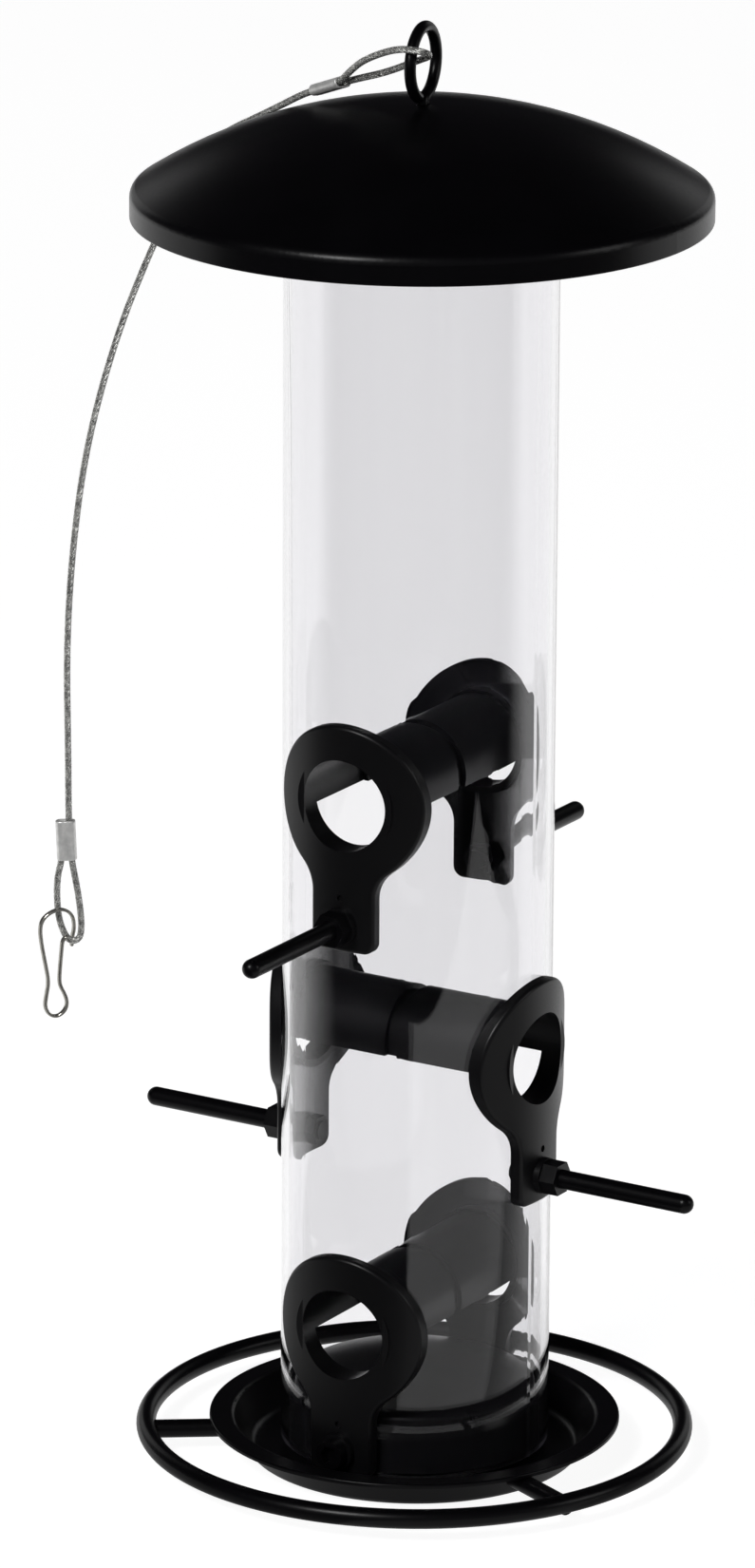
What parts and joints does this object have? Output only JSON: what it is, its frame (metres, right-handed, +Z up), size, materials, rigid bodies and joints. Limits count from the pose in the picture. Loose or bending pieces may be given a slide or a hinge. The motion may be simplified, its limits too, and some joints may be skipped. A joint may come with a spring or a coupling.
{
  "type": "hanging bird feeder",
  "caption": "Hanging clear-tube seed feeder with domed metal lid, feeding ports with perches, catch tray with perch ring, and a steel cable with snap hook.",
  "frame": {"origin": "centre of the tray's underside, on the surface that the feeder stands on", "axes": "+Z up along the tube's axis; -Y is the side of the front ports"},
  "size_m": [0.1978, 0.165, 0.3803],
  "materials": {
    "black_coat": "satin black powder coat",
    "black_plastic": "moulded satin black",
    "clear_tube": "clear polycarbonate",
    "cable_steel": "twisted wire, thin clear coat",
    "ferrule_metal": "satin crimped",
    "hook_wire": "nickel plated",
    "plated_steel": "zinc plated"
  },
  "bodies": {
    "feeder": {"seed_tube": "clear_tube", "base_insert": "black_plastic", "tray": "black_coat", "tray_screw_1": "plated_steel", "tray_screw_2": "plated_steel", "tray_screw_3": "plated_steel", "perch_ring": "black_coat", "spoke_1": "black_coat", "spoke_2": "black_coat", "spoke_3": "black_coat", "port_bottom_front": "black_plastic", "port_bottom_back": "black_plastic", "port_middle_right": "black_plastic", "port_middle_left": "black_plastic", "port_top_front": "black_plastic", "port_top_back": "black_plastic", "perch_middle_right": "black_coat", "perch_middle_left": "black_coat", "perch_top_front": "black_coat", "perch_top_back": "black_coat", "outer_nut_middle_right": "black_coat", "outer_nut_middle_left": "black_coat", "outer_nut_top_front": "black_coat", "outer_nut_top_back": "black_coat", "inner_nut_middle_right": "black_plastic", "inner_nut_middle_left": "black_plastic", "inner_nut_top_front": "black_plastic", "inner_nut_top_back": "black_plastic", "screw_bottom_front": "black_coat", "screw_bottom_back": "black_coat"},
    "hanger": {"hanger_eye": "black_coat", "hanger_washer": "plated_steel", "hanger_nut": "plated_steel"},
    "lid": {"lid": "black_coat", "lid_collar": "black_coat", "bayonet_pin_1": "black_coat", "bayonet_pin_2": "black_coat"},
    "cable": {"cable": "cable_steel", "top_ferrule": "ferrule_metal", "bottom_ferrule": "ferrule_metal"},
    "hook": {"snap_hook": "hook_wire"}
  },
  "joints": [
    {"name": "lid_lift", "type": "slide", "parent": "feeder", "child": "hanger", "axis": [0, 0, 1], "range_m": [0, 0.02]},
    {"name": "lid_twist", "type": "hinge", "parent": "hanger", "child": "lid", "pos_m": [0, 0, 0.35], "axis": [0, 0, 1], "range_deg": [0, 80.5]},
    {"name": "cable_swing", "type": "hinge", "parent": "hanger", "child": "cable", "pos_m": [0.00143, -0.00817, 0.373], "axis": [0.3279, 0.9447, 0], "range_deg": [0, 60]},
    {"name": "hook_swing", "type": "hinge", "parent": "cable", "child": "hook", "pos_m": [-0.1116, 0.0015, 0.1282], "axis": [-0.521, 0.8536, 0], "range_deg": [-12, 12]}
  ],
  "couplings": [
    {"joint": "lid_twist", "follows": "lid_lift", "rad_per_m": 69.813}
  ]
}
